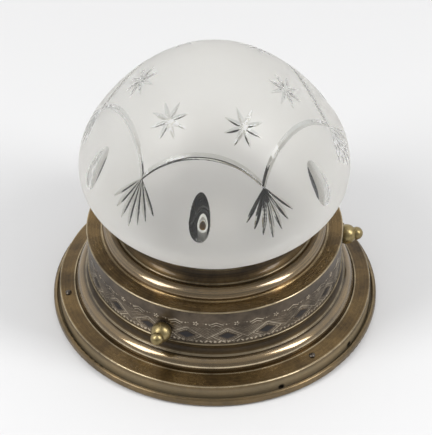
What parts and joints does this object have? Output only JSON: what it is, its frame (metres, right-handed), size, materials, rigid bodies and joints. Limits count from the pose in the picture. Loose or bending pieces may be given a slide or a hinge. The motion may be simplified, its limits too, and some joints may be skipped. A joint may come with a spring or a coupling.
{
  "type": "ceiling lamp",
  "caption": "Round flush ceiling lamp: stepped brass base with a frieze, frosted cut-glass dome held by thumb screws, porcelain lampholder inside.",
  "frame": {"origin": "centre of the flat ceiling face, on the lamp's axis", "axes": "+Z from the ceiling face towards the glass, as the lamp stands on a table in the picture; -Y faces the viewer. On a ceiling the lamp is turned over, so +Z points down"},
  "size_m": [0.25, 0.25, 0.2238],
  "materials": {
    "patinated_brass": "satin, old dark patina",
    "frieze_brass": "embossed, dark patina",
    "polished_brass": "polished",
    "glass": "frosted outside, cuts polished clear",
    "porcelain": "glazed",
    "steel": "plain",
    "sleeve": "matt",
    "wire_dark": "covered wire",
    "wire_light": "covered wire"
  },
  "bodies": {
    "base": {"ceiling_pan": "patinated_brass", "spacer_posts": "patinated_brass", "flange_shell": "patinated_brass", "flange_screws": "patinated_brass", "foot_moulding": "patinated_brass", "drum_wall": "patinated_brass", "frieze_band": "frieze_brass", "drum_cap": "patinated_brass", "gallery_ring": "patinated_brass", "screw_bosses": "patinated_brass", "glass_shade": "glass", "cross_bar": "steel", "bar_screws": "steel", "nipple": "polished_brass", "nipple_nuts": "polished_brass", "holder_base": "polished_brass", "holder_body": "porcelain", "holder_shell": "polished_brass", "centre_contact": "polished_brass", "side_contact": "polished_brass", "terminal_screws": "polished_brass", "terminal_block": "porcelain", "block_inserts": "polished_brass", "block_screws": "steel", "block_fixing": "steel", "wire_live": "wire_dark", "wire_neutral": "wire_light"},
    "sleeve_1": {"screw_sleeve_1": "sleeve"},
    "thumb_1": {"thumb_screw_1": "polished_brass"},
    "sleeve_2": {"screw_sleeve_2": "sleeve"},
    "thumb_2": {"thumb_screw_2": "polished_brass"},
    "sleeve_3": {"screw_sleeve_3": "sleeve"},
    "thumb_3": {"thumb_screw_3": "polished_brass"}
  },
  "joints": [
    {"name": "sleeve_slide_1", "type": "slide", "parent": "base", "child": "sleeve_1", "axis": [-0.3875, -0.9219, 0], "range_m": [0, 0.0072]},
    {"name": "thumb_turn_1", "type": "hinge", "parent": "sleeve_1", "child": "thumb_1", "pos_m": [-0.0396, -0.09421, 0.0481], "axis": [-0.3875, -0.9219, 0], "range_deg": [0, 3240]},
    {"name": "sleeve_slide_2", "type": "slide", "parent": "base", "child": "sleeve_2", "axis": [0.9921, 0.1253, 0], "range_m": [0, 0.0072]},
    {"name": "thumb_turn_2", "type": "hinge", "parent": "sleeve_2", "child": "thumb_2", "pos_m": [0.10139, 0.01281, 0.0481], "axis": [0.9921, 0.1253, 0], "range_deg": [0, 3240]},
    {"name": "sleeve_slide_3", "type": "slide", "parent": "base", "child": "sleeve_3", "axis": [-0.6046, 0.7965, 0], "range_m": [0, 0.0072]},
    {"name": "thumb_turn_3", "type": "hinge", "parent": "sleeve_3", "child": "thumb_3", "pos_m": [-0.06179, 0.08141, 0.0481], "axis": [-0.6046, 0.7965, 0], "range_deg": [0, 3240]}
  ],
  "couplings": [
    {"joint": "sleeve_slide_1", "follows": "thumb_turn_1", "m_per_rad": 0.00012732},
    {"joint": "sleeve_slide_2", "follows": "thumb_turn_2", "m_per_rad": 0.00012732},
    {"joint": "sleeve_slide_3", "follows": "thumb_turn_3", "m_per_rad": 0.00012732}
  ]
}
